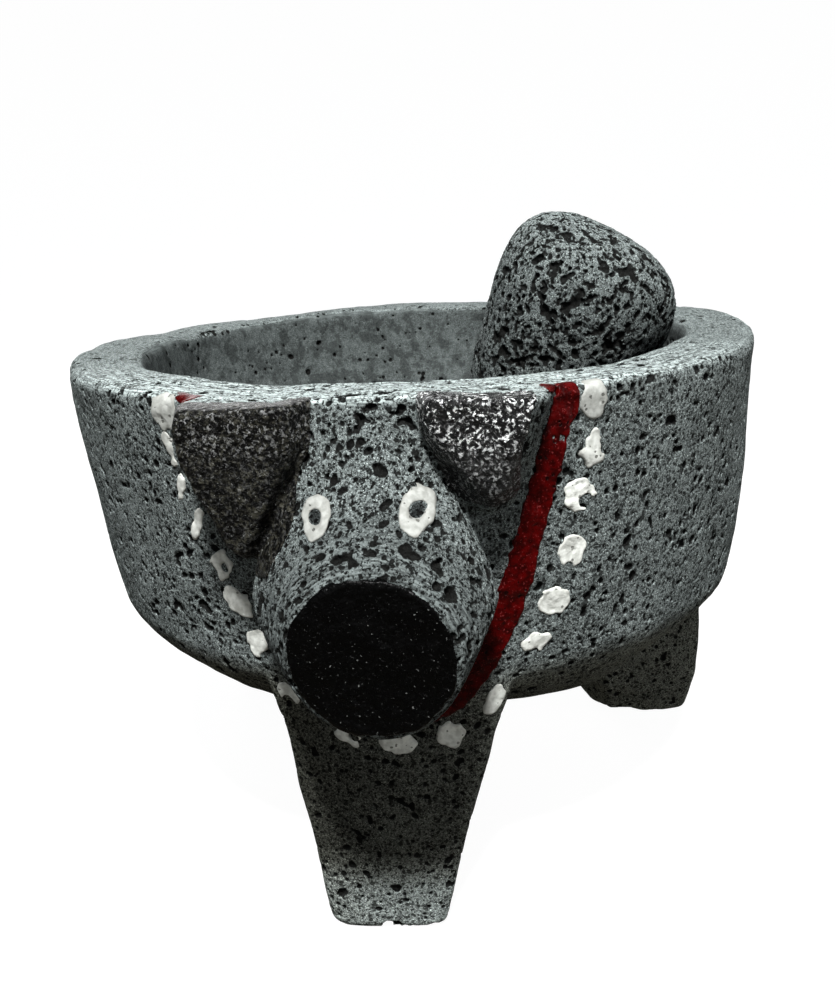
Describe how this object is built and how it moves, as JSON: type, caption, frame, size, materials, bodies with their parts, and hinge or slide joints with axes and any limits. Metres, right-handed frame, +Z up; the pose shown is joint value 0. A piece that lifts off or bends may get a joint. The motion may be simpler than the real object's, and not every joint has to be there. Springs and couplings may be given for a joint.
{
  "type": "molcajete",
  "caption": "Stone mortar on legs with a pig's head carved on its front, painted ears, snout, eyes and neck band, and a loose stone pestle for grinding.",
  "frame": {"origin": "the plane the feet stand on, at the middle of the bounding box", "axes": "+Z up; the head faces -Y; +X is on the right when the head is looked at from the front, so it is the pig's own left"},
  "size_m": [0.1976, 0.2202, 0.1732],
  "materials": {
    "basalt": "rough, porous, carved and ground",
    "tejolote_basalt": "rough, densely porous",
    "black_paint": "gloss enamel paint",
    "white_paint": "thick satin paint",
    "red_paint": "gloss enamel paint"
  },
  "bodies": {
    "mortar": {"mortar": "basalt", "snout_paint": "black_paint", "ear_paint_left": "black_paint", "ear_paint_right": "black_paint", "eye_paint_left": "white_paint", "eye_paint_right": "white_paint", "neck_band": "red_paint", "neck_dab_01": "white_paint", "neck_dab_02": "white_paint", "neck_dab_03": "white_paint", "neck_dab_04": "white_paint", "neck_dab_05": "white_paint", "neck_dab_06": "white_paint", "neck_dab_07": "white_paint", "neck_dab_08": "white_paint", "neck_dab_09": "white_paint", "neck_dab_10": "white_paint", "neck_dab_11": "white_paint", "neck_dab_12": "white_paint", "neck_dab_13": "white_paint", "neck_dab_14": "white_paint", "neck_dab_15": "white_paint", "neck_dab_16": "white_paint", "neck_dab_17": "white_paint", "neck_dab_18": "white_paint"},
    "tejolote": {"tejolote": "tejolote_basalt"}
  },
  "joints": [
    {"name": "tejolote_lift", "type": "slide", "parent": "mortar", "child": "tejolote", "axis": [0, 0, 1], "range_m": [0, 0.14]}
  ]
}
